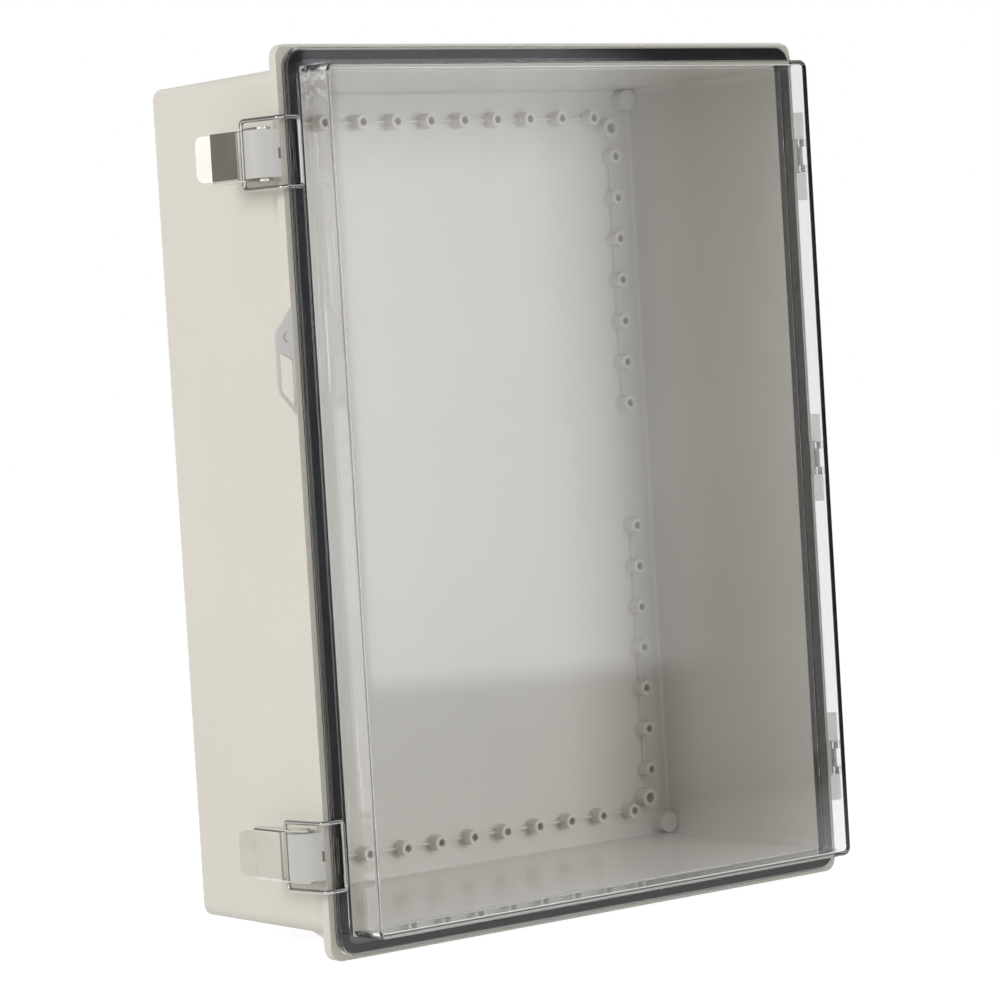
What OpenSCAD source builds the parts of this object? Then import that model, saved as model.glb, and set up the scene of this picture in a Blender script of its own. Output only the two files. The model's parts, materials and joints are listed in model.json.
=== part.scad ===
// Outdoor wall enclosure: a drafted housing, a clear hinged cover with a seal,
// and two draw latches with wire bails.
// The modules draw the box lying on its back: x right, y up the wall, z out of the wall.
// stand() then turns it upright, so that the cover faces -Y and the wall face is at Y = 0.

/* [Housing] */
// Width over the front rim
rim_w = 298; // [240:1:400]
// Height over the front rim
rim_h = 392; // [300:1:520]
// Depth of the rim's edge
rim_t = 5; // [4:0.5:8]
// Radius of the rim's corners
rim_corner_r = 6; // [4:0.5:8]
// How far the rim stands out from the tub at its sides
rim_overhang = 7; // [6.5:0.5:11]
// How far it stands out at its upper and lower ends
rim_end_overhang = 9; // [7:0.5:13]
// Depth from the wall face to the rim's front
base_depth = 108; // [80:1:200]
// Width of the bevel along the rim's upper edge
rim_bevel = 1.5; // [0.5:0.25:2]
// Thickness of the two gussets under the rim at the housing's lower end
gusset_t = 2.5; // [1.5:0.25:4]
// Length of those gussets along the tub
gusset_len = 26; // [10:1:40]
// Slope of each tub wall, as a distance over the whole depth
tub_draft = 1.5; // [0.5:0.1:3]
// Radius of the tub's four long corners at the back
tub_corner_r = 5; // [4:0.5:12]
// Radius of the same corners on the inside
tub_inner_r = 3; // [2:0.25:5]
// Radius of the edge round the back
back_edge_r = 2; // [1:0.5:4]
// Radius of the edge inside the tub, round its back
inner_edge_r = 1.5; // [0.5:0.25:2]
// Thickness of the side walls
wall = 3; // [2:0.25:4]
// Thickness of the back wall
back_wall = 2.5; // [2:0.25:4]

/* [Cover] */
// How far the cover's front stands ahead of the rim
cover_rise = 22; // [16:1:60]
// Distance from the rim's edge in to the cover's flange, at the sides
flange_inset = 2.5; // [2:0.25:3.5]
// The same distance at the upper and lower ends
flange_end_inset = 1.5; // [1:0.25:4]
// Thickness of the cover's flange
flange_t = 3.6; // [3:0.1:5]
// Radius of the flange's front edge
flange_edge_r = 1.2; // [0.5:0.1:1.5]
// Radius of the flange's corners
flange_corner_r = 9; // [8:0.5:12]
// Distance from the rim's edge in to the foot of the cover's raised wall
dome_inset = 9.5; // [9:0.25:14]
// Slope of each raised wall of the cover, as a distance over its rise
dome_draft = 0.5; // [0.2:0.1:1]
// Radius of the raised part's corners at its front
dome_corner_r = 4; // [3:0.5:8]
// Radius of the same corners on the inside
dome_inner_r = 2; // [1.5:0.25:4]
// Radius of the edge round the cover's front
dome_edge_r = 1; // [0.5:0.25:2.5]
// Radius of the same edge on the inside
dome_inner_edge_r = 0.5; // [0.25:0.25:1.5]
// Thickness of the cover's walls and front pane
cover_wall = 2; // [1.5:0.25:3.5]
// Gap between the rim and the closed cover
cover_gap = 0.3; // [0.2:0.05:0.6]

/* [Seal] */
// Width of the gasket
gasket_w = 4.4; // [3.5:0.1:4.6]
// Thickness of the gasket in its groove
gasket_t = 1.3; // [1:0.1:1.6]
// Width of the cover's skirt outside the gasket
skirt_w = 1.2; // [1:0.1:1.5]
// Room on each side of the gasket in its groove
gasket_clear = 0.1; // [0.05:0.05:0.2]
// Width of the rib on the rim that presses the gasket
seal_rib_w = 1.4; // [1:0.1:2]
// Height of that rib
seal_rib_h = 0.6; // [0.4:0.1:0.8]
// Gap between that rib and the gasket
seal_gap = 0.3; // [0.2:0.05:0.5]

/* [Screw bosses] */
// Distance between neighbouring bosses
boss_pitch = 20; // [16:1:30]
// Diameter of a boss at its face
boss_d = 7; // [6:0.25:9]
// Height of the bosses above the back wall
boss_h = 6.5; // [4:0.5:12]
// Slope of a boss's side, as a distance over its height
boss_draft = 0.25; // [0.1:0.05:0.5]
// Diameter of a boss's screw hole
boss_hole_d = 3.6; // [2.5:0.1:4.2]
// Thickness left under the bosses' screw holes
hole_floor = 3; // [2:0.25:4]
// Distance of the upright boss rows from the tub's back edge
column_inset = 18; // [15:0.5:30]
// Distance of the level boss rows from the tub's back edge
row_inset = 16.5; // [15:0.5:30]
// Half the plain stretch in the middle of an upright row, in pitches
column_start = 1.5; // [0.5:1:3.5]
// Width of the low rib that links the bosses
link_rib_w = 1.2; // [0.8:0.1:2]
// Height of that rib
link_rib_h = 2; // [1:0.25:4]
// Distance of the plate bosses from the tub's back edge, across
plate_boss_inset_x = 20; // [17:0.5:30]
// Distance of the plate bosses from the tub's back edge, up
plate_boss_inset_y = 21.7; // [19:0.1:35]
// Diameter of a plate boss
plate_boss_d = 9; // [8:0.25:11]
// Diameter of a plate boss's screw hole
plate_hole_d = 5; // [3.5:0.1:5.5]
// Distance of the wall-screw columns from the tub's back edge
wall_column_inset = 8.2; // [7:0.1:11]
// Diameter of a wall-screw column
wall_column_d = 10.2; // [9:0.1:12]
// Diameter of the blind screw hole at the back of each column
wall_hole_d = 4.5; // [3:0.1:6]
// Thickness left between that hole and the column's face
wall_hole_cap = 2; // [1.5:0.25:3]

/* [Hinges] */
// Distance of the outer hinges from the rim's two ends
hinge_inset = 53.5; // [30:0.5:70]
// Room between the two lugs of a hinge
hinge_gap = 16; // [12:0.5:24]
// Length of one lug
lug_len = 12.5; // [8:0.5:16]
// Radius of a lug round the hinge pin
lug_r = 4; // [3.5:0.25:5]
// Distance of the hinge axis outside the rim's edge
hinge_out = 5; // [4.5:0.1:6]
// Distance of the hinge axis behind the rim's front
hinge_back = 4; // [3.5:0.1:6]
// Diameter of the hinge pins
hinge_pin_d = 3; // [2:0.1:4]
// Thickness of each of the cover's hinge ears
ear_t = 3.4; // [2.5:0.1:4.5]
// Radius of an ear round the hinge pin
ear_r = 3.6; // [3:0.1:4]
// Gap between an ear and its lug
ear_side_gap = 0.25; // [0.2:0.05:0.5]
// Radial clearance of every pin in its hole
pin_fit = 0.05; // [0.02:0.01:0.08]

/* [Latches] */
// Distance of each latch from the rim's nearer end
latch_inset = 46; // [30:0.5:46]
// Distance of the lever's pivot outside the rim's edge
pivot_out = 3.5; // [3:0.1:5]
// Diameter of the lever's pivot pin
pivot_pin_d = 3; // [2.5:0.1:4]
// How far the pin's flat heads stand out round it
pin_head_rim = 0.4; // [0.3:0.05:1]
// Thickness of those heads
pin_head_t = 0.3; // [0.2:0.05:0.6]
// Radius of the moulded boss that carries the pivot
latch_boss_r = 8; // [6:0.25:8]
// Distance of that boss's front behind the rim's front
latch_boss_set = 0.5; // [0.5:0.1:2]
// Distance from the pivot back to the foot of that boss
latch_boss_foot = 12; // [10:0.5:16]
// Width of the lever over its two side flanges
lever_w = 23; // [18:0.5:30]
// Thickness of the lever's sheet
lever_t = 1; // [0.8:0.1:1.5]
// Gap between the lever's side flanges and the boss
lever_side_gap = 0.3; // [0.2:0.05:0.5]
// Distance from the pivot out to the lever's outer face
lever_out = 6; // [5.5:0.1:7.5]
// Length of the lever behind its pivot
lever_len = 30; // [24:0.5:45]
// Radius of the flanges' round ends at the pivot
lever_end_r = 3.8; // [3.2:0.1:4]
// Height of the flanges at the lever's free end
flange_end_h = 3; // [2:0.1:4]
// Outer radius of the folds between the handle and its flanges
fold_r = 1.8; // [1.6:0.1:2.5]
// Radius of the flanges' corners
lever_corner_r = 1; // [0.5:0.1:1.2]
// Length of the bent finger tab
tab_len = 7; // [5:0.5:12]
// Width of the finger tab
tab_w = 20; // [14:0.5:22]
// Angle at which the finger tab is bent outward
tab_angle = 35; // [15:1:50]
// Width of the slot in the front of the latch boss
boss_slot_w = 1.2; // [0.8:0.1:2]
// Length of that slot
boss_slot_len = 4.5; // [3:0.5:8]
// Diameter of the bail's wire
bail_d = 2; // [1.6:0.1:2.2]
// Gap between the bail's arms and the lever's side flanges
bail_side_gap = 2.2; // [1.2:0.05:2.5]
// Distance from the pivot out to the bail's rear bar
bail_out = 3.8; // [3:0.1:4.2]
// Distance from the pivot back to the bail's rear bar
bail_back = 9.5; // [8.5:0.1:12]
// Length of the hooked end of the bail, from the bend in its arms to its front bar
bail_hook_len = 10.5; // [9:0.1:12]
// Distance from the rim's edge in to the bail's front bar
bail_bar_in = 6.2; // [5.8:0.1:6.6]
// Gap between the bail's front bar and the cover's flange
bail_gap = 0.3; // [0.2:0.05:0.6]
// Radius of the wire's bends at its four corners, on the wire's centre line
bail_corner_r = 2; // [1.5:0.1:2]
// Radius of the bend in each arm, on the wire's centre line
bail_bend_r = 3; // [2:0.1:4]
// Height of the ridge on the cover that keeps the bail's front bar
keeper_h = 1.1; // [0.5:0.05:1.2]
// Width of that ridge
keeper_w = 1; // [0.6:0.05:1.1]
// Length of that ridge
keeper_len = 16; // [10:0.5:20]

/* [Padlock lug] */
// Distance of the lug's middle above the middle of the housing
padlock_y = 61.5; // [30:0.5:80]
// Length of the lug along the rim
padlock_len = 45; // [40:0.5:60]
// How far the lug stands out from the rim
padlock_out = 8.6; // [8:0.1:12]
// Thickness of the lug
padlock_t = 1.5; // [1.2:0.1:2.5]
// Length over which each end of the lug slopes back to the rim
padlock_slope = 10; // [8:0.5:12]
// Width of the frame round the window
padlock_frame = 1.3; // [1:0.1:2]
// Length of the solid web above the window, at the lug's outer side
padlock_web = 8; // [6:0.5:10]
// How much longer that web is at the rim
padlock_skew = 4; // [0:0.5:5]
// Distance of the window from the rim's edge
padlock_root = 0.25; // [0.2:0.05:0.5]
// Radius of the window's corners
padlock_corner_r = 1; // [0.5:0.1:1.2]
// Radius of the lug's lower bend, on the window's side
padlock_bend_r = 4; // [2:0.5:5]
// Radius of the blends between the lug and the rim's edge
padlock_blend_r = 4; // [2:0.5:6]
// Diameter of the nub on the web
nub_d = 4.2; // [3:0.1:4.6]
// Height of that nub
nub_h = 1; // [0.5:0.1:1.5]
// Distance of the nub from the rim's edge
nub_out = 2.6; // [2.4:0.1:4]
// Distance of the nub below the web's upper shoulder
nub_drop = 2; // [1:0.1:3]

/* [Hidden] */
$fn = 48;

// How far joined shapes reach into each other, and cuts reach past a face
weld = 0.5;
// Straight pieces in each rounded corner of an outline
arc_steps = 6;

// Levels above the wall face
rim_z = base_depth;
flange_z = rim_z + cover_gap;
flange_front_z = flange_z + flange_t;
cover_front_z = rim_z + cover_rise;
boss_face_z = back_wall + boss_h;

// Half sizes
rim_x = rim_w / 2;
rim_y = rim_h / 2;
back_x = rim_x - rim_overhang - tub_draft;
back_y = rim_y - rim_end_overhang - tub_draft;
flange_x = rim_x - flange_inset;
flange_y = rim_y - flange_end_inset;

// Hinge axis
hinge_x = rim_x + hinge_out;
hinge_z = rim_z - hinge_back;
hinge_y = rim_y - hinge_inset;
hinge_ys = [hinge_y, 0, -hinge_y];
hinge_len = hinge_gap + 2 * lug_len;

// Latch axes, on the left side
pivot_x = -rim_x - pivot_out;
pivot_z = rim_z - latch_boss_set - latch_boss_r;
bail_x = pivot_x - bail_out;
bail_z = pivot_z - bail_back;
bail_r = bail_d / 2;
bail_bar = [-rim_x + bail_bar_in, flange_front_z + bail_gap + bail_r];
bail_reach = bail_bar - [bail_x, bail_z];
bail_arm_len = sqrt(bail_reach * bail_reach - bail_hook_len * bail_hook_len);
bail_tilt = 90 - bearing(bail_reach) - asin(bail_hook_len / norm(bail_reach));
bail_half = lever_w / 2 + bail_side_gap + bail_r;
latch_boss_w = lever_w - 2 * (lever_t + lever_side_gap);
lever_x = pivot_x - lever_out;
lever_end_z = pivot_z - lever_len;
latch_y = rim_y - latch_inset;
latch_ys = [latch_y, -latch_y];

// Boss places
column_x = back_x - column_inset;
row_y = back_y - row_inset;
plate_boss_x = back_x - plate_boss_inset_x;
plate_boss_y = back_y - plate_boss_inset_y;
boss_room = (boss_d + plate_boss_d) / 2;
row_half = floor((plate_boss_x - boss_room) / boss_pitch - 0.5);
column_half = floor((plate_boss_y - boss_room) / boss_pitch - column_start);
row_xs = [for (i = [0:row_half]) (i + 0.5) * boss_pitch];
column_ys = [for (i = [0:column_half]) (i + column_start) * boss_pitch];
wall_column_x = back_x - wall_column_inset;
wall_column_y = back_y - wall_column_inset;

function unit(v) = v / norm(v);
function bearing(v) = atan2(v[1], v[0]);
function short_turn(a) = a > 180 ? a - 360 : a < -180 ? a + 360 : a;

// Points of an arc of radius r that rounds the corner at b between a and c
function corner_arc(a, b, c, r) =
    let (
        u = unit(a - b),
        v = unit(c - b),
        half = acos(u * v) / 2,
        centre = b + unit(u + v) * r / sin(half),
        first = b + u * r / tan(half) - centre,
        last = b + v * r / tan(half) - centre,
        turn = short_turn(bearing(last) - bearing(first))
    )
    [for (i = [0:arc_steps]) let (t = bearing(first) + turn * i / arc_steps) centre + r * [cos(t), sin(t)]];

// Outline through corners given as [x, y, radius]
function rounded(corners) =
    let (n = len(corners), at = [for (c = corners) [c[0], c[1]]])
    [for (i = [0:n - 1]) each corners[i][2] == 0 ? [at[i]] :
        corner_arc(at[(i + n - 1) % n], at[i], at[(i + 1) % n], corners[i][2])];

// Point where a line from p touches the circle round centre, on the circle's side named by side
function touch(p, centre, r, side) =
    let (v = p - centre, t = bearing(v) + side * acos(r / norm(v)))
    centre + r * [cos(t), sin(t)];

// Half section of a drafted wall: from the middle out to half, with a rounded back edge
function wall_section(half, depth, slope, edge) = concat(
    [[0, 0]],
    [for (i = [0:arc_steps]) let (t = -90 + 90 * i / arc_steps)
        [half - edge + edge * cos(t), edge + edge * sin(t)]],
    [[half + slope, depth], [0, depth]]
);

// Turns the lying box upright, with its cover towards -Y
module stand() {
    rotate([90, 0, 0]) children();
}

// Extrudes an outline drawn in x and z along y, centred
module across(length) {
    rotate([90, 0, 0]) linear_extrude(height = length, center = true) children();
}

// Round bar along y, centred
module bar(r, length) {
    rotate([90, 0, 0]) cylinder(r = r, h = length, center = true);
}

module four_corners(x, y) {
    for (sx = [-1, 1], sy = [-1, 1]) translate([sx * x, sy * y, 0]) children();
}

// Box with drafted walls, round long corners and a rounded edge at its low end.
// half_x, half_y and r hold at the low end, and the box grows by slope towards its high end.
module drafted_box(half_x, half_y, r, depth, slope, edge) {
    core_x = half_x - r;
    core_y = half_y - r;
    section_x = wall_section(half_x, depth, slope, edge);
    section_y = wall_section(half_y, depth, slope, edge);
    for (side = [0, 1]) mirror([side, 0, 0]) across(2 * core_y) polygon(section_x);
    for (side = [0, 1]) mirror([0, side, 0])
        rotate([0, 0, 90]) across(2 * core_x) polygon(section_y);
    for (sx = [0, 1], sy = [0, 1]) mirror([sx, 0, 0]) mirror([0, sy, 0]) translate([core_x, core_y, 0])
        rotate_extrude(angle = 90) polygon(wall_section(r, depth, slope, edge));
}

// Plate with round corners, drawn from z up
module slab(half_x, half_y, r, z, t) {
    translate([0, 0, z]) linear_extrude(height = t) {
        square([2 * half_x, 2 * (half_y - r)], center = true);
        square([2 * (half_x - r), 2 * half_y], center = true);
        four_corners(half_x - r, half_y - r) circle(r = r);
    }
}

// Ring that follows the cover's flange: inset is its outer edge's distance from the flange's edge
module ring(inset, width, z, t) {
    inner = inset + width;
    difference() {
        slab(flange_x - inset, flange_y - inset, flange_corner_r - inset, z, t);
        slab(flange_x - inner, flange_y - inner, flange_corner_r - inner, z - weld, t + 2 * weld);
    }
}

// Housing

module tub_shell() {
    difference() {
        union() {
            drafted_box(back_x, back_y, tub_corner_r, base_depth - rim_t + weld, tub_draft, back_edge_r);
            slab(rim_x, rim_y, rim_corner_r, rim_z - rim_t, rim_t);
        }
        translate([0, 0, back_wall])
            drafted_box(back_x - wall, back_y - wall, tub_inner_r, base_depth, tub_draft, inner_edge_r);
        rotate([0, 0, 90]) across(rim_w + 2 * weld) polygon([
            [rim_y - rim_bevel - weld, rim_z + weld], [rim_y + weld, rim_z - rim_bevel - weld],
            [rim_y + weld, rim_z + weld]
        ]);
    }
}

// Screw boss that grows from the back wall
module boss(d) {
    translate([0, 0, back_wall - weld])
        cylinder(r1 = d / 2 + boss_draft, r2 = d / 2, h = boss_h + weld);
}

module screw_bosses() {
    for (x = row_xs) four_corners(x, row_y) boss(boss_d);
    for (y = column_ys) four_corners(column_x, y) boss(boss_d);
    four_corners(plate_boss_x, plate_boss_y) boss(plate_boss_d);
    four_corners(wall_column_x, wall_column_y) boss(wall_column_d);
}

// Low ribs along the boss rows
module link_ribs() {
    rib = link_rib_h + weld;
    row_len = 2 * row_xs[row_half];
    column_len = column_ys[column_half] - column_ys[0];
    for (side = [-1, 1]) {
        translate([0, side * row_y, back_wall - weld + rib / 2])
            cube([row_len, link_rib_w, rib], center = true);
        for (end = [-1, 1])
            translate([side * column_x, end * (column_ys[0] + column_len / 2), back_wall - weld + rib / 2])
                cube([link_rib_w, column_len, rib], center = true);
    }
}

module screw_holes() {
    hole_depth = boss_face_z - hole_floor;
    translate([0, 0, hole_floor]) {
        for (x = row_xs) four_corners(x, row_y) cylinder(d = boss_hole_d, h = hole_depth + weld);
        for (y = column_ys) four_corners(column_x, y) cylinder(d = boss_hole_d, h = hole_depth + weld);
        four_corners(plate_boss_x, plate_boss_y) cylinder(d = plate_hole_d, h = hole_depth + weld);
    }
    four_corners(wall_column_x, wall_column_y) translate([0, 0, -weld])
        cylinder(d = wall_hole_d, h = boss_face_z - wall_hole_cap + weld);
}

// Two lugs that carry one hinge pin beside the rim
module hinge_lugs() {
    for (side = [-1, 1]) translate([0, side * (hinge_gap + lug_len) / 2, 0]) {
        translate([hinge_x, 0, hinge_z]) bar(lug_r, lug_len);
        across(lug_len) polygon([
            [rim_x - weld, rim_z], [hinge_x, hinge_z + lug_r],
            [hinge_x, hinge_z - lug_r], [rim_x - weld, rim_z - rim_t]
        ]);
    }
}

// Triangular webs between the rim's rear face and the tub's lower wall
module gussets() {
    rear_z = rim_z - rim_t;
    foot_y = -rim_y + rim_end_overhang + 2 * weld;
    for (side = [-1, 1]) translate([side * (back_x - tub_corner_r), 0, 0]) rotate([0, 0, 90])
        across(gusset_t) polygon([
            [foot_y, rear_z + weld], [-rim_y + weld, rear_z + weld],
            [-rim_y + weld, rear_z], [foot_y, rear_z - gusset_len]
        ]);
}

// Moulded boss that carries one lever, blended into the rim and the tub wall
module latch_boss() {
    pivot = [pivot_x, pivot_z];
    front = [-rim_x, rim_z - weld];
    rear = [-back_x, pivot_z - latch_boss_foot];
    translate([pivot_x, 0, pivot_z]) bar(latch_boss_r, latch_boss_w);
    across(latch_boss_w) polygon([
        [-back_x, rim_z - weld], front, touch(front, pivot, latch_boss_r, 1),
        pivot, touch(rear, pivot, latch_boss_r, -1), rear
    ]);
}

// Lug beside the rim for a padlock or a seal, with a window and a nub
module padlock_lug() {
    half = padlock_len / 2;
    shoulder = half - padlock_slope;
    out_x = -rim_x - padlock_out;
    inner_x = -rim_x - padlock_root;
    outer_x = out_x + padlock_frame;
    steep = padlock_slope / padlock_out;
    lift = padlock_frame * sqrt(1 + steep * steep);
    top_y = shoulder - padlock_web;
    foot_y = half + padlock_blend_r;
    translate([0, padlock_y, rim_z - padlock_t]) {
        difference() {
            linear_extrude(height = padlock_t) polygon(rounded([
                [-rim_x + weld, foot_y, 0], [-rim_x, foot_y, 0], [-rim_x, half, padlock_blend_r],
                [out_x, shoulder, padlock_frame], [out_x, -shoulder, padlock_bend_r + padlock_frame],
                [-rim_x, -half, padlock_blend_r], [-rim_x, -foot_y, 0], [-rim_x + weld, -foot_y, 0]
            ]));
            translate([0, 0, -weld]) linear_extrude(height = padlock_t + 2 * weld) polygon(rounded([
                [inner_x, top_y - padlock_skew, padlock_corner_r],
                [outer_x, top_y, padlock_corner_r],
                [outer_x, lift - half + steep * (padlock_out - padlock_frame), padlock_bend_r],
                [inner_x, lift - half + steep * padlock_root, padlock_corner_r]
            ]));
        }
        translate([-rim_x - nub_out, shoulder - nub_drop, padlock_t - weld])
            cylinder(d = nub_d, h = nub_h + weld);
    }
}

module base_housing() {
    color([0.87, 0.86, 0.81]) stand() difference() {
        union() {
            tub_shell();
            screw_bosses();
            link_ribs();
            ring(skirt_w + gasket_clear + (gasket_w - seal_rib_w) / 2, seal_rib_w, rim_z - weld,
                seal_rib_h + weld);
            for (y = hinge_ys) translate([0, y, 0]) hinge_lugs();
            for (y = latch_ys) translate([0, y, 0]) latch_boss();
            gussets();
            padlock_lug();
        }
        screw_holes();
        for (y = latch_ys) translate([-rim_x - boss_slot_w / 2, y, rim_z - rim_t / 2])
            cube([boss_slot_w, boss_slot_len, rim_t], center = true);
        for (y = hinge_ys) translate([hinge_x, y, hinge_z])
            bar(hinge_pin_d / 2 + pin_fit, hinge_len + 2 * weld);
        for (y = latch_ys) translate([pivot_x, y, pivot_z])
            bar(pivot_pin_d / 2 + pin_fit, latch_boss_w + 2 * weld);
    }
}

// Cover

// Two ears of one hinge, with the tongue that joins them to the flange
module hinge_ears() {
    root_x = flange_x - flange_edge_r;
    knuckle = hinge_gap - 2 * ear_side_gap;
    for (side = [-1, 1]) translate([0, side * (knuckle - ear_t) / 2, 0]) {
        translate([hinge_x, 0, hinge_z]) bar(ear_r, ear_t);
        across(ear_t) polygon(rounded([
            [root_x, flange_z, 0], [root_x, flange_front_z, 0],
            [hinge_x + ear_r, flange_front_z, ear_r], [hinge_x + ear_r, hinge_z, 0],
            [hinge_x - ear_r, hinge_z, 0], [hinge_x - ear_r, flange_z, 0]
        ]));
    }
    across(knuckle) polygon([
        [root_x, flange_z], [root_x, flange_front_z],
        [hinge_x - ear_r, flange_front_z], [hinge_x - ear_r, flange_z]
    ]);
}

// Low ridge beside the bail's front bar, sloped on the bar's side
module keeper() {
    edge = -flange_x;
    foot_z = flange_front_z - flange_edge_r;
    across(keeper_len) polygon([
        [edge, foot_z], [edge, flange_front_z + keeper_h], [edge + keeper_w, flange_front_z + keeper_h],
        [edge + keeper_w + keeper_h, flange_front_z], [edge + keeper_w + keeper_h, foot_z]
    ]);
}

// Raised part of the cover, drawn from its front back to the flange's rear face
module dome(inset, top_z, r, edge) {
    translate([0, 0, top_z]) mirror([0, 0, 1])
        drafted_box(rim_x - dome_inset - dome_draft - inset, rim_y - dome_inset - dome_draft - inset,
            r, top_z - flange_z, dome_draft, edge);
}

module clear_cover() {
    color([0.85, 0.9, 0.92, 0.35]) stand() difference() {
        union() {
            translate([0, 0, flange_front_z]) mirror([0, 0, 1])
                drafted_box(flange_x, flange_y, flange_corner_r, flange_t, 0, flange_edge_r);
            dome(0, cover_front_z, dome_corner_r, dome_edge_r);
            for (y = hinge_ys) translate([0, y, 0]) hinge_ears();
            for (y = latch_ys) translate([0, y, 0]) keeper();
        }
        translate([0, 0, -weld])
            dome(cover_wall, cover_front_z - cover_wall + weld, dome_inner_r, dome_inner_edge_r);
        ring(skirt_w, gasket_w + 2 * gasket_clear, flange_z - weld,
            weld + gasket_t + seal_rib_h + seal_gap - cover_gap);
        for (y = hinge_ys) translate([hinge_x, y, hinge_z])
            bar(hinge_pin_d / 2 + pin_fit, hinge_gap);
    }
}

module gasket() {
    color([0.12, 0.12, 0.12]) stand()
        ring(skirt_w + gasket_clear, gasket_w, rim_z + seal_rib_h + seal_gap, gasket_t);
}

module hinge_pin(y) {
    color([0.75, 0.76, 0.77]) stand() translate([hinge_x, y, hinge_z]) bar(hinge_pin_d / 2, hinge_len);
}

module upper_hinge_pin() hinge_pin(hinge_y);
module middle_hinge_pin() hinge_pin(0);
module lower_hinge_pin() hinge_pin(-hinge_y);

// Latches

// Pivot pin of one lever, with a flat head beyond each side flange
module latch_pin(y) {
    color([0.75, 0.76, 0.77]) stand() translate([pivot_x, y, pivot_z]) {
        bar(pivot_pin_d / 2, lever_w + pin_head_t);
        for (side = [-1, 1]) translate([0, side * (lever_w / 2 + pin_fit + pin_head_t / 2), 0])
            bar(pivot_pin_d / 2 + pin_head_rim, pin_head_t);
    }
}

// Section of the folded sheet, drawn with its open side towards the housing
function channel(half_w, back, r, depth) = rounded([
    [back, -half_w, r], [back, half_w, r], [depth, half_w, 0], [depth, -half_w, 0]
]);

// Draw lever: a folded sheet with a flat handle, a bent finger tab and two side flanges
module latch_lever(y) {
    bar_room = bail_r + weld;
    half_w = lever_w / 2;
    reach = lever_out + lever_end_r + weld;
    flange_end = [lever_x + flange_end_h, lever_end_z];
    heel = touch(flange_end, [pivot_x, pivot_z], lever_end_r, 1);
    color([0.78, 0.78, 0.77]) stand() translate([0, y, 0]) difference() {
        union() {
            intersection() {
                union() {
                    translate([pivot_x, 0, pivot_z]) bar(lever_end_r, lever_w);
                    across(lever_w) polygon(rounded([
                        [lever_x, lever_end_z, 0], [flange_end[0], flange_end[1], lever_corner_r],
                        [heel[0], heel[1], 0], [pivot_x, pivot_z, 0],
                        [pivot_x - lever_end_r, pivot_z, 0], [lever_x, bail_z + bar_room, lever_corner_r]
                    ]));
                }
                translate([lever_x, 0, lever_end_z]) linear_extrude(height = lever_len + lever_end_r + weld)
                    difference() {
                        polygon(channel(half_w, 0, fold_r, reach));
                        polygon(channel(half_w - lever_t, lever_t, fold_r - lever_t, reach + weld));
                    }
            }
            translate([lever_x, 0, lever_end_z]) rotate([0, 90 + tab_angle, 0])
                linear_extrude(height = lever_t) polygon(rounded([
                    [-lever_t, -tab_w / 2, 0], [tab_len, -tab_w / 2, tab_len / 2],
                    [tab_len, tab_w / 2, tab_len / 2], [-lever_t, tab_w / 2, 0]
                ]));
        }
        translate([lever_x - weld, lever_t - half_w, bail_z - bar_room])
            cube([reach + weld, lever_w - 2 * lever_t, bail_back + bar_room + lever_end_r + weld]);
        translate([pivot_x, 0, pivot_z]) bar(pivot_pin_d / 2 + pin_fit, lever_w + 2 * weld);
        translate([bail_x, 0, bail_z]) bar(bail_r + pin_fit, lever_w + 2 * weld);
    }
}

// Straight wire along z, with what follows at its far end
module straight(length) {
    cylinder(r = bail_r, h = length);
    translate([0, 0, length]) children();
}

// Wire that bends square from z to x, with what follows at its far end
module bend(r) {
    translate([r, 0, 0]) rotate([90, 0, 180]) rotate_extrude(angle = 90) translate([r, 0]) circle(r = bail_r);
    translate([r, 0, r]) rotate([0, 90, 0]) children();
}

// Turns the plane of the next bend about the wire
module roll(angle) {
    rotate([0, 0, angle]) children();
}

// Wire loop: its rear bar turns in the lever, and its front bar hooks over the cover's flange
module latch_bail(y) {
    half_bar = bail_half - bail_corner_r;
    color([0.8, 0.8, 0.8]) stand() translate([bail_x, y, bail_z]) rotate([0, bail_tilt, 0])
        for (side = [0, 1]) mirror([0, side, 0]) rotate([-90, -90, 0])
            straight(half_bar) bend(bail_corner_r)
            straight(bail_arm_len - bail_corner_r - bail_bend_r) roll(90) bend(bail_bend_r)
            straight(bail_hook_len - bail_bend_r - bail_corner_r) roll(-90) bend(bail_corner_r)
            straight(half_bar);
}

module upper_latch_pin() latch_pin(latch_y);
module upper_latch_lever() latch_lever(latch_y);
module upper_latch_bail() latch_bail(latch_y);
module lower_latch_pin() latch_pin(-latch_y);
module lower_latch_lever() latch_lever(-latch_y);
module lower_latch_bail() latch_bail(-latch_y);

base_housing();
clear_cover();
gasket();
upper_hinge_pin();
middle_hinge_pin();
lower_hinge_pin();
upper_latch_pin();
upper_latch_lever();
upper_latch_bail();
lower_latch_pin();
lower_latch_lever();
lower_latch_bail();
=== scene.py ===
"""Looks of an outdoor wall enclosure with a clear hinged cover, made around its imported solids."""

import json
import math

import bpy
import numpy as np
from mathutils import Matrix, Vector


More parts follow.
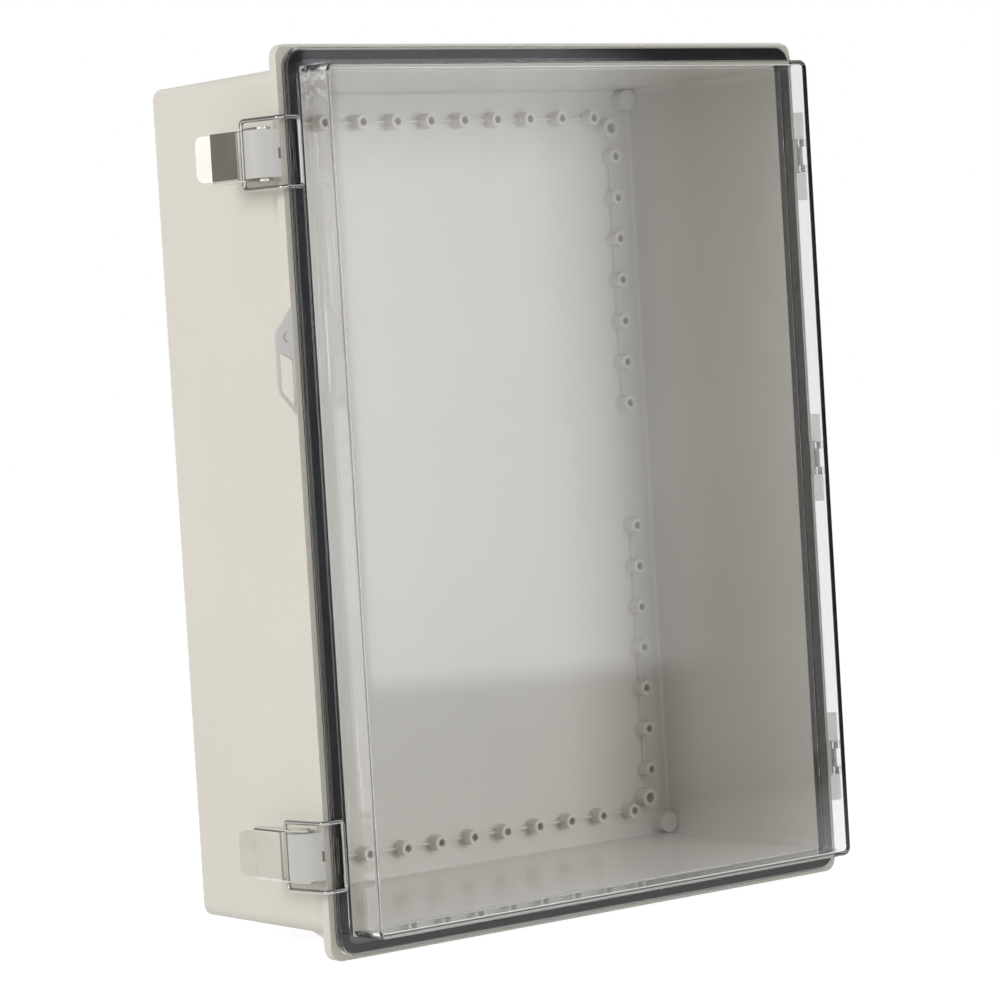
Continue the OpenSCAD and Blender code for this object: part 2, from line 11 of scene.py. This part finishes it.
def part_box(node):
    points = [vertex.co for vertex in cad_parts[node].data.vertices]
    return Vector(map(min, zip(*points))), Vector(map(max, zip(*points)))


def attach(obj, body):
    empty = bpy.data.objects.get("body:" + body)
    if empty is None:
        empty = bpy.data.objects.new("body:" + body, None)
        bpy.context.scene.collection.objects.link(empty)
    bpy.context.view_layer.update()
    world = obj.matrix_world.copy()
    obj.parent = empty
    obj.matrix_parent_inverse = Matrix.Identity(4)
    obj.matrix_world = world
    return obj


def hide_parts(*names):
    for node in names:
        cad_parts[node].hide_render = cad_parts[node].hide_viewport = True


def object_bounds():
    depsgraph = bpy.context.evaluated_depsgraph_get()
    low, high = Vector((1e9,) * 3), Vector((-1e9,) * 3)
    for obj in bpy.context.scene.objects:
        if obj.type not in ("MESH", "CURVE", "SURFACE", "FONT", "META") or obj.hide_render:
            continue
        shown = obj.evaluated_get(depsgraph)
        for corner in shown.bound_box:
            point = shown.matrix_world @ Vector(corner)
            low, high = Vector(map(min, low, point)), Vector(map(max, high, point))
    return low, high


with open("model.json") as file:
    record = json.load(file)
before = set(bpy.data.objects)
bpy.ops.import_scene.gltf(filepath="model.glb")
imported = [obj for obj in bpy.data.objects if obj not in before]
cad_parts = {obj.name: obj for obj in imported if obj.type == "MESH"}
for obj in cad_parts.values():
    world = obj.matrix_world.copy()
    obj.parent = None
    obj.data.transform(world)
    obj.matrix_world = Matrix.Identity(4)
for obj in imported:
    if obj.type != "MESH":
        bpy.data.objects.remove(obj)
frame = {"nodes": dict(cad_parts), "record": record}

CAD_BOX = [list(corner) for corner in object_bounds()]
SCENE = bpy.context.scene
SCENE.view_settings.view_transform = "Standard"

# Camera of the photograph: place in metres, heading from +Y towards +X, rise and roll
CAMERA_PLACE = (-1.11950, -1.44632, 0.07232)
CAMERA_HEADING = math.radians(38.8430)
CAMERA_RISE = math.radians(-2.5953)
CAMERA_ROLL = math.radians(3.4511)
CAMERA_SENSOR = 36.0
CAMERA_LENS = 139.964
CAMERA_REACH = 50.0

# Floor, table level and lamps' target in metres, and strengths of the plain light
FLOOR_LEVEL = CAD_BOX[0][2] - 0.0004
FLOOR_HALF = 6.0
FLOOR_GLOW = 1.24
FLOOR_SHADOW_SHARE = 0.25
TABLE_LEVEL = FLOOR_LEVEL + 0.001
LAMP_TARGET = (0.0, -0.06, 0.0)
AMBIENT = 0.42

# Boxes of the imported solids: lowest and highest corner in metres
HOUSING_LOW, HOUSING_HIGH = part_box("base_housing")
COVER_LOW, COVER_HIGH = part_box("clear_cover")
SEAL_LOW, SEAL_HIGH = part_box("gasket")

# Half sizes of the cover's flange and of the housing's rim in metres
FLANGE_HALF_X = -COVER_LOW.x
FLANGE_HALF_Z = COVER_HIGH.z
RIM_HALF_X = FLANGE_HALF_X + 0.0025
RIM_HALF_Z = HOUSING_HIGH.z

# Zones of the housing's tints in metres, with painted light on the inside and painted shade on the rim's
# face: half width, half height, front depth and back depth
BODY_ZONE = (RIM_HALF_X + 0.0002, RIM_HALF_Z + 0.004, HOUSING_LOW.y - 0.01, HOUSING_HIGH.y + 0.01)
# The inside: painted lighter as painted light, and glossier
INNER_ZONE = (RIM_HALF_X - 0.0095, RIM_HALF_Z - 0.0115, HOUSING_LOW.y + 0.0015, HOUSING_HIGH.y - 0.0024)
# Painted shade: the rim's front face, tinted darker where it lies in shade
RIM_FACE_SHADE_ZONE = (RIM_HALF_X, RIM_HALF_Z, HOUSING_LOW.y - 0.0005, HOUSING_LOW.y + 0.0012)

# Steps of each rounded corner of the seal and of the film
CORNER_STEPS = 12

# Seal in metres: its section, with insets from its outer edge, and the depths of its thin inner lip
SEAL_CORNER = 0.0077
SEAL_WIDTH = 0.0044
SEAL_BEVEL = 0.00025
LIP_START = 0.0033
LIP_END = 0.0069
LIP_TAPER = 0.0001
LIP_NECK = SEAL_HIGH.y + 0.0003
LIP_FRONT = SEAL_HIGH.y + 0.00066
LIP_BACK = SEAL_HIGH.y + 0.00082

# Film in metres: outline just off the cover's raised walls, its strip across them, draft and lifts
FILM_HALF_X = FLANGE_HALF_X - 0.0069
FILM_HALF_Z = FLANGE_HALF_Z - 0.0079
FILM_CORNER = 0.0041
FILM_START = COVER_LOW.y + 0.0174
FILM_WIDTH = 0.0168
FILM_DRAFT = 0.0005
FILM_LIFT = 0.00006
WAVE_LIFT = 0.00003

# Film's grid, and its crease: reach in millimetres, and how much more the film lifts there
FILM_COLUMNS = 1400
FILM_ROWS = 15
CREASE_REACH = 14.0
CREASE_GAIN = 4.0


# Node helpers

def add(tree, kind, inputs=None, **settings):
    """Adds a node. Each input is a constant, or another node's output to link."""
    node = tree.nodes.new(kind)
    for name, value in settings.items():
        setattr(node, name, value)
    for name, value in (inputs or {}).items():
        if isinstance(value, bpy.types.NodeSocket):
            tree.links.new(value, node.inputs[name])
        else:
            node.inputs[name].default_value = value
    return node


def math_node(tree, operation, *values):
    """One arithmetic step on two or three values."""
    return add(tree, "ShaderNodeMath", dict(enumerate(values)), operation=operation).outputs[0]


def stretched(tree, vector, scale):
    """Vector multiplied by scale, axis by axis."""
    return add(tree, "ShaderNodeMapping", {"Vector": vector, "Scale": scale}).outputs["Vector"]


def place(tree, scale=(1.0, 1.0, 1.0)):
    """Object coordinates, stretched by scale."""
    return stretched(tree, add(tree, "ShaderNodeTexCoord").outputs["Object"], scale)


def axes_of(tree, vector):
    """X, Y and Z of a vector."""
    return add(tree, "ShaderNodeSeparateXYZ", {"Vector": vector}).outputs


def noise(tree, vector, scale, detail=3.0, roughness=0.55):
    """Soft noise between 0 and 1 along vector."""
    inputs = {"Vector": vector, "Scale": scale, "Detail": detail, "Roughness": roughness}
    return add(tree, "ShaderNodeTexNoise", inputs).outputs["Fac"]


def spread(tree, value, low, high, source=(0.3, 0.7)):
    """Maps a value from the source range onto the range from low to high, and holds it there."""
    inputs = {"Value": value, "From Min": source[0], "From Max": source[1], "To Min": low, "To Max": high}
    return add(tree, "ShaderNodeMapRange", inputs).outputs["Result"]


def tint(tree, value, first, second):
    """Colour between first and second, by value. Each is a constant, or another node's output."""
    ends = [c if isinstance(c, bpy.types.NodeSocket) else (*c, 1.0) for c in (first, second)]
    inputs = {0: value, 6: ends[0], 7: ends[1]}
    return add(tree, "ShaderNodeMix", inputs, data_type="RGBA").outputs[2]


def within(tree, half_x, half_z, front, back):
    """1 where the place is within the half sizes and between two depths, and 0 elsewhere."""
    axes = axes_of(tree, place(tree))
    inside = math_node(tree, "COMPARE", axes["Y"], (front + back) / 2, (back - front) / 2)
    for axis, half in (("X", half_x), ("Z", half_z)):
        near = math_node(tree, "COMPARE", axes[axis], 0.0, half)
        inside = math_node(tree, "MULTIPLY", inside, near)
    return inside


def bump(tree, height, strength, distance):
    """Normal of a surface whose height is given in units of distance, in metres."""
    inputs = {"Height": height, "Strength": strength, "Distance": distance}
    return add(tree, "ShaderNodeBump", inputs).outputs["Normal"]


def new_finish(name):
    """Empty material with its node tree and output."""
    material = bpy.data.materials.new(name)
    material.use_nodes = True
    tree = material.node_tree
    tree.nodes.clear()
    return material, tree, add(tree, "ShaderNodeOutputMaterial")


def principled(tree, output, inputs):
    """Principled shader joined to the material's output."""
    shader = add(tree, "ShaderNodeBsdfPrincipled", inputs)
    tree.links.new(shader.outputs["BSDF"], output.inputs["Surface"])


def mixed(tree, output, share, first, second):
    """First and second shader, mixed by the second's share and joined to the material's output."""
    mix = add(tree, "ShaderNodeMixShader", {0: share, 1: first.outputs[0], 2: second.outputs[0]})
    tree.links.new(mix.outputs[0], output.inputs["Surface"])


# Finishes

def housing_plastic():
    """Warm light grey moulding with a cloudy colour and a fine grain, satin outside and glossier inside.
    Its tint differs between the outside and what stands out at either side; the inside is painted lighter
    as painted light, and the rim's face darker as painted shade."""
    material, tree, output = new_finish("housing_plastic")
    cloud = noise(tree, place(tree), 9.0, 4.0)
    grain = noise(tree, place(tree), 2600.0, 2.0)
    wave = noise(tree, place(tree), 28.0, 2.0)
    height = math_node(tree, "ADD", grain, math_node(tree, "MULTIPLY", wave, 1.5))
    clouded = spread(tree, cloud, 0.0, 1.0)
    outer = tint(tree, clouded, (0.70, 0.665, 0.59), (0.735, 0.70, 0.625))
    # Painted light: the inside is tinted lighter than the outside, standing in for more light inside
    inner = tint(tree, clouded, (0.72, 0.685, 0.63), (0.75, 0.715, 0.66))
    # Painted shade: the rim's front face is tinted darker, standing in for its shade
    rim_face_painted_shade = tint(tree, clouded, (0.47, 0.44, 0.37), (0.50, 0.47, 0.40))
    latch_bosses = tint(tree, clouded, (0.54, 0.53, 0.50), (0.57, 0.56, 0.53))
    hinge_lugs = tint(tree, clouded, (0.70, 0.69, 0.665), (0.73, 0.72, 0.695))
    hinge_side = spread(tree, axes_of(tree, place(tree))["X"], 0.0, 1.0, (-0.1, 0.1))
    inside = within(tree, *INNER_ZONE)
    colour = tint(tree, hinge_side, latch_bosses, hinge_lugs)
    colour = tint(tree, within(tree, *BODY_ZONE), colour, outer)
    # Painted light on the inside, then painted shade on the rim's face
    colour = tint(tree, inside, colour, inner)
    colour = tint(tree, within(tree, *RIM_FACE_SHADE_ZONE), colour, rim_face_painted_shade)
    satin = spread(tree, grain, 0.36, 0.5)
    gloss = spread(tree, grain, 0.14, 0.22)
    principled(tree, output, {
        "Base Color": colour,
        "Roughness": spread(tree, inside, satin, gloss, (0.0, 1.0)),
        "Normal": bump(tree, height, 0.12, 0.00005),
    })
    return material


def clear_plastic():
    """Clear moulding that bends light and lets lamps through."""
    material, tree, output = new_finish("clear_plastic")
    flow = noise(tree, place(tree, (1.0, 1.0, 0.35)), 16.0, 2.0)
    glass = add(tree, "ShaderNodeBsdfPrincipled", {
        "Base Color": (0.97, 0.98, 0.985, 1.0),
        "Roughness": 0.03,
        "IOR": 1.58,
        "Transmission Weight": 1.0,
        "Normal": bump(tree, flow, 0.06, 0.0004),
    })
    path = add(tree, "ShaderNodeLightPath").outputs
    through = math_node(tree, "MAXIMUM", path["Is Shadow Ray"], path["Is Diffuse Ray"])
    clear = add(tree, "ShaderNodeBsdfTransparent", {"Color": (0.955, 0.965, 0.975, 1.0)})
    mixed(tree, output, through, glass, clear)
    return material


def seal_rubber():
    """Soft black rubber with a dull, slightly dusty skin."""
    material, tree, output = new_finish("seal_rubber")
    dust = noise(tree, place(tree), 60.0, 4.0)
    grain = noise(tree, place(tree), 1800.0, 2.0)
    principled(tree, output, {
        "Base Color": tint(tree, spread(tree, dust, 0.0, 1.0), (0.012, 0.012, 0.012), (0.02, 0.02, 0.02)),
        "Specular IOR Level": 0.15,
        "Roughness": spread(tree, grain, 0.55, 0.75),
        "Normal": bump(tree, grain, 0.2, 0.00005),
    })
    return material


def bright_steel(name, colour, roughness, grain_scale):
    """Bright stainless steel with fine lines along its grain, and faint smudges."""
    material, tree, output = new_finish(name)
    lines = noise(tree, place(tree, grain_scale), 1.0, 3.0, 0.7)
    smudge = noise(tree, place(tree), 55.0, 3.0)
    wear = math_node(tree, "MULTIPLY_ADD", lines, 0.6, math_node(tree, "MULTIPLY", smudge, 0.4))
    darker = tuple(0.9 * c for c in colour)
    principled(tree, output, {
        "Base Color": tint(tree, spread(tree, smudge, 0.0, 1.0), darker, colour),
        "Metallic": 1.0,
        "Roughness": spread(tree, wear, *roughness),
        "Normal": bump(tree, lines, 0.08, 0.00002),
    })
    return material


def clear_film():
    """Thin clear film: unseen where it lies flat, with pale lines of painted highlight along it and painted
    highlights where it is crumpled at its crease.
    """
    material, tree, output = new_finish("clear_film")
    flow = add(tree, "ShaderNodeUVMap", uv_map="flow").outputs["UV"]
    lines = noise(tree, stretched(tree, flow, (16.0, 480.0, 1.0)), 1.0, 4.0, 0.6)
    patches = noise(tree, stretched(tree, flow, (22.0, 40.0, 1.0)), 1.0, 2.0)
    folds = noise(tree, stretched(tree, flow, (260.0, 200.0, 1.0)), 1.0, 4.0)
    # Painted highlight: pale lines in patches along the film stand in for light caught on its folds
    highlight_lines = spread(tree, lines, 0.0, 0.6, (0.56, 0.68))
    highlight_streaks = math_node(tree, "MULTIPLY", highlight_lines, spread(tree, patches, 0.0, 1.0, (0.42, 0.6)))
    # Painted highlight on the crumpled film at the crease
    crease = add(tree, "ShaderNodeAttribute", attribute_name="crease").outputs["Fac"]
    crumple_highlights = math_node(tree, "MULTIPLY", crease, spread(tree, folds, 0.0, 0.7, (0.45, 0.7)))
    principled(tree, output, {
        "Base Color": (0.9, 0.91, 0.92, 1.0),
        "Roughness": 0.2,
        "Alpha": math_node(tree, "MAXIMUM", highlight_streaks, crumple_highlights),
    })
    return material


FINISHES = {
    "housing_plastic": housing_plastic(),
    "clear_plastic": clear_plastic(),
    "seal_rubber": seal_rubber(),
    "latch_steel": bright_steel("latch_steel", (0.71, 0.69, 0.65), (0.1, 0.22), (2500.0, 120.0, 2500.0)),
    "bail_wire": bright_steel("bail_wire", (0.54, 0.54, 0.53), (0.04, 0.1), (1500.0, 1500.0, 1500.0)),
    "pin_steel": bright_steel("pin_steel", (0.50, 0.50, 0.49), (0.18, 0.32), (300.0, 300.0, 2600.0)),
}

for part in frame["record"]["subparts"]:
    node = frame["nodes"][part["node"]]
    node.data.materials.clear()
    node.data.materials.append(FINISHES[part["material_slot"]])


# Piece helpers

def new_piece(name, points, faces, finish):
    """Object with a mesh of these points and faces, in the finish."""
    mesh = bpy.data.meshes.new(name)
    mesh.from_pydata(points.tolist(), [], faces.tolist())
    mesh.materials.append(finish)
    piece = bpy.data.objects.new(name, mesh)
    SCENE.collection.objects.link(piece)
    return piece


def flat_piece(name, corner, along, up, finish):
    """Flat four-sided piece: corner + s along + t up, for s and t from 0 to 1, with s and t as its UV."""
    s = np.array([0.0, 1.0, 1.0, 0.0])
    t = np.array([0.0, 0.0, 1.0, 1.0])
    points = np.array(corner) + s[:, None] * np.array(along) + t[:, None] * np.array(up)
    piece = new_piece(name, points, np.array([[0, 1, 2, 3]]), finish)
    spots = piece.data.uv_layers.new(name="card")
    spots.data.foreach_set("uv", np.stack([s, t], axis=1).ravel())
    return piece


# Seal

def make_seal(finish):
    """Seal with its thin inner lip: a closed section of insets and depths, carried round the gasket's edge.
    A point lies at a corner's centre plus (corner radius - inset) outward."""
    front, back = SEAL_LOW.y, SEAL_HIGH.y
    section = np.array([
        (0.0, front + SEAL_BEVEL),
        (SEAL_BEVEL, front),
        (SEAL_WIDTH - SEAL_BEVEL, front),
        (SEAL_WIDTH, front + SEAL_BEVEL),
        (SEAL_WIDTH, LIP_NECK),
        (SEAL_WIDTH - LIP_TAPER, LIP_FRONT),
        (LIP_END, LIP_FRONT),
        (LIP_END, LIP_BACK),
        (LIP_START, LIP_BACK),
        (LIP_START, back),
        (SEAL_BEVEL, back),
        (0.0, back - SEAL_BEVEL),
    ])
    inset, y = section.T
    angles = np.linspace(0.0, np.pi / 2, CORNER_STEPS)
    turn = (angles[None, :] + np.arange(4)[:, None] * np.pi / 2).ravel()
    side_x = np.repeat([1, -1, -1, 1], CORNER_STEPS)
    side_z = np.repeat([1, 1, -1, -1], CORNER_STEPS)
    reach = SEAL_CORNER - inset[None, :]
    x = side_x[:, None] * (SEAL_HIGH.x - SEAL_CORNER) + np.cos(turn)[:, None] * reach
    z = side_z[:, None] * (SEAL_HIGH.z - SEAL_CORNER) + np.sin(turn)[:, None] * reach
    points = np.stack([x, np.broadcast_to(y, x.shape), z], axis=-1).reshape(-1, 3)
    count, rows = x.shape
    i, j = np.meshgrid(np.arange(count), np.arange(rows), indexing="ij")
    i_next, j_next = (i + 1) % count, (j + 1) % rows
    faces = np.stack([i * rows + j, i_next * rows + j, i_next * rows + j_next, i * rows + j_next], axis=-1)
    seal = new_piece("seal", points, faces.reshape(-1, 4), finish)
    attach(seal, "cover")
    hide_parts("gasket")


make_seal(FINISHES["seal_rubber"])


# Protective film

def wall_outline(half_x, half_z, corner_r, count):
    """Path round the raised part of the cover, from its lower right over the left to its upper right.
    Straight runs of the half sizes joined by quarter circles, sampled evenly by length.
    Returns places and outward directions in X and Z, and the length run so far."""
    flat_x, flat_z = half_x - corner_r, half_z - corner_r
    angles = np.linspace(0.0, np.pi / 2, CORNER_STEPS)
    lower = np.stack([-flat_x - corner_r * np.sin(angles), -flat_z - corner_r * np.cos(angles)], axis=1)
    upper = np.stack([-flat_x - corner_r * np.cos(angles), flat_z + corner_r * np.sin(angles)], axis=1)
    corners = np.concatenate([[(flat_x, -half_z)], lower, upper, [(flat_x, half_z)]])
    run = np.concatenate([[0.0], np.cumsum(np.linalg.norm(np.diff(corners, axis=0), axis=1))])
    length = np.linspace(0.0, run[-1], count)
    places = np.stack([np.interp(length, run, corners[:, axis]) for axis in (0, 1)], axis=1)
    ahead = np.gradient(places, length, axis=0)
    outward = np.stack([-ahead[:, 1], ahead[:, 0]], axis=1)
    return places, outward / np.linalg.norm(outward, axis=1, keepdims=True), length


def make_film(finish):
    """Thin clear film on the left, upper and lower walls of the cover's raised part.
    Each point lies on the wall's outline, drawn in by the draft and pushed outward by a lift.
    The lift is a sum of slanting waves, kept above zero, that grows at the upper left corner's crease."""
    places, outward, length = wall_outline(FILM_HALF_X, FILM_HALF_Z, FILM_CORNER, FILM_COLUMNS)
    depth = np.linspace(0.0, 1.0, FILM_ROWS)
    y = FILM_START - FILM_WIDTH * depth
    along, across = np.meshgrid(length * 1000.0, depth, indexing="ij")
    waves = np.sin(0.21 * along + 3.0 * across) + np.sin(0.083 * along - 5.0 * across + 1.0)
    waves = waves + 0.7 * np.sin(0.55 * along + 9.0 * across + 2.0 * np.sin(0.05 * along))
    lowest_wave = -2.7
    upper_left = (length[-1] - 2 * FILM_HALF_X + FILM_CORNER) * 1000.0
    corner = np.exp(-((along - upper_left) / CREASE_REACH) ** 2)
    lift = (FILM_LIFT + WAVE_LIFT * (waves - lowest_wave)) * (1.0 + CREASE_GAIN * corner)
    draft = FILM_DRAFT * depth[None, :]
    rim = places[:, None, :] + outward[:, None, :] * (lift - draft)[..., None]
    points = np.stack([rim[..., 0], np.broadcast_to(y, lift.shape), rim[..., 1]], axis=-1).reshape(-1, 3)
    count, rows = lift.shape
    first = (np.arange(count - 1)[:, None] * rows + np.arange(rows - 1)[None, :]).ravel()
    faces = np.stack([first, first + 1, first + rows + 1, first + rows], axis=1)
    film = new_piece("cover_film", points, faces, finish)
    flow = film.data.uv_layers.new(name="flow")
    spots = np.stack([along / 1000.0, across * FILM_WIDTH], axis=-1).reshape(-1, 2)
    flow.data.foreach_set("uv", spots[faces.ravel()].ravel())
    crease = film.data.attributes.new("crease", "FLOAT", "POINT")
    crease.data.foreach_set("value", corner.ravel())
    film.data.shade_smooth()
    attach(film, "cover")


make_film(clear_film())


# Camera and studio

def camera_turn(heading, rise, roll):
    """Turn of a camera that looks along heading and rise, rolled about its line of sight.
    Its columns are the camera's right, up and back."""
    level = math.cos(rise)
    ahead = Vector((math.sin(heading) * level, math.cos(heading) * level, math.sin(rise)))
    side = ahead.cross(Vector((0.0, 0.0, 1.0))).normalized()
    top = side.cross(ahead)
    up = top * math.cos(roll) + side * math.sin(roll)
    right = side * math.cos(roll) - top * math.sin(roll)
    return Matrix((right, up, -ahead)).transposed()


def make_camera():
    """Camera that sees the part as the photograph does."""
    data = bpy.data.cameras.new("camera")
    data.sensor_width = CAMERA_SENSOR
    data.lens = CAMERA_LENS
    data.clip_end = CAMERA_REACH
    camera = bpy.data.objects.new("camera", data)
    turn = camera_turn(CAMERA_HEADING, CAMERA_RISE, CAMERA_ROLL)
    camera.matrix_world = Matrix.Translation(CAMERA_PLACE) @ turn.to_4x4()
    SCENE.collection.objects.link(camera)
    SCENE.camera = camera


def seen_share(tree):
    """1 for rays that show the surroundings: those of the camera, of gloss and of clear parts."""
    path = add(tree, "ShaderNodeLightPath").outputs
    first = math_node(tree, "MAXIMUM", path["Is Camera Ray"], path["Is Glossy Ray"])
    return math_node(tree, "MAXIMUM", first, path["Is Transmission Ray"])


def make_world():
    """White surroundings for the eye, and a plain even light on the part."""
    world = bpy.data.worlds.new("studio")
    SCENE.world = world
    world.use_nodes = True
    tree = world.node_tree
    tree.nodes.clear()
    strength = spread(tree, seen_share(tree), AMBIENT, 1.0, (0.0, 1.0))
    back = add(tree, "ShaderNodeBackground", {"Color": (1.0, 1.0, 1.0, 1.0), "Strength": strength})
    output = add(tree, "ShaderNodeOutputWorld")
    tree.links.new(back.outputs[0], output.inputs["Surface"])


def make_floor():
    """White floor that keeps a faint shadow."""
    material, tree, output = new_finish("floor_white")
    matt = add(tree, "ShaderNodeBsdfDiffuse", {"Color": (0.85, 0.85, 0.85, 1.0)})
    glow = add(tree, "ShaderNodeEmission", {"Color": (1.0, 1.0, 1.0, 1.0), "Strength": FLOOR_GLOW})
    share = math_node(tree, "MULTIPLY", seen_share(tree), 1.0 - FLOOR_SHADOW_SHARE)
    mixed(tree, output, share, matt, glow)
    corner = (-FLOOR_HALF, -FLOOR_HALF, FLOOR_LEVEL)
    side = 2 * FLOOR_HALF
    floor = flat_piece("floor", corner, (side, 0.0, 0.0), (0.0, side, 0.0), material)


def make_card(name, corner, along, up, shade, through=False, fades=()):
    """Flat card that only reflections show: corner + s along + t up, for s and t from 0 to 1.
    With through, the reflections of a clear part's rear faces show it too. Each fade names s ("X")
    or t ("Y"), and its values where the card is gone and where it is full."""
    material, tree, output = new_finish(name)
    path = add(tree, "ShaderNodeLightPath").outputs
    if through:
        share = math_node(tree, "MAXIMUM", path["Is Glossy Ray"], path["Is Transmission Ray"])
        mirrored = math_node(tree, "GREATER_THAN", path["Glossy Depth"], 0.5)
        share = math_node(tree, "MULTIPLY", share, mirrored)
    else:
        share = math_node(tree, "GREATER_THAN", path["Is Glossy Ray"], path["Is Transmission Ray"])
    axes = axes_of(tree, add(tree, "ShaderNodeUVMap", uv_map="card").outputs["UV"])
    for axis, gone, full in fades:
        share = math_node(tree, "MULTIPLY", share, spread(tree, axes[axis], 0.0, 1.0, (gone, full)))
    hidden = add(tree, "ShaderNodeBsdfTransparent", {"Color": (1.0, 1.0, 1.0, 1.0)})
    shown = add(tree, "ShaderNodeEmission", {"Color": (*shade, 1.0), "Strength": 1.0})
    mixed(tree, output, share, hidden, shown)
    card = flat_piece(name, corner, along, up, material)


def make_lamp(name, spot, size, power):
    """Soft square lamp at spot that shines on the part."""
    data = bpy.data.lights.new(name, "AREA")
    data.shape = "SQUARE"
    data.size = size
    data.energy = power
    lamp = bpy.data.objects.new(name, data)
    aim = (Vector(LAMP_TARGET) - Vector(spot)).to_track_quat("-Z", "Y")
    lamp.matrix_world = Matrix.Translation(spot) @ aim.to_matrix().to_4x4()
    SCENE.collection.objects.link(lamp)


make_camera()
make_world()
make_floor()
make_card("dark_stand", (-1.5, 0.1, 0.02), (1.2, 1.2, 0.0), (0.0, 0.0, 0.9), (0.25, 0.235, 0.2))
make_card("warm_table", (-1.6, -0.7, TABLE_LEVEL), (1.4, 0.0, 0.0), (0.0, 2.2, 0.0), (0.87, 0.845, 0.785))
make_card("dark_ceiling", (-2.2, -1.6, 1.1), (3.0, 0.0, 0.0), (0.0, 2.6, 0.0), (0.15, 0.15, 0.15))
make_card("dark_table", (-0.2, -1.25, TABLE_LEVEL), (2.4, 0.0, 0.0), (0.0, 1.1, 0.0), (0.1, 0.1, 0.1),
          through=True, fades=(("Y", 1.0, 0.755),))
make_card("dark_room", (0.1, -1.25, FLOOR_LEVEL), (2.0, 0.0, 0.0), (0.0, 0.0, 1.2), (0.06, 0.06, 0.06),
          through=True)
make_card("pale_screen", (0.479, -0.95, FLOOR_LEVEL + 0.016), (0.35, 0.0, -0.015), (0.0, 0.0, 0.46),
          (1.37, 1.39, 1.47), through=True, fades=(("X", 0.92, 0.63), ("Y", 0.0, 0.037)))
make_card("pale_window", (-2.4, -1.6, -0.1), (0.0, 1.3, 0.0), (0.0, 0.0, 1.0), (1.5, 1.5, 1.5))
make_lamp("side_lamp", (-2.7, 0.3, 1.3), 1.6, 46.0)
make_lamp("front_lamp", (0.9, -2.6, 0.4), 1.4, 31.0)
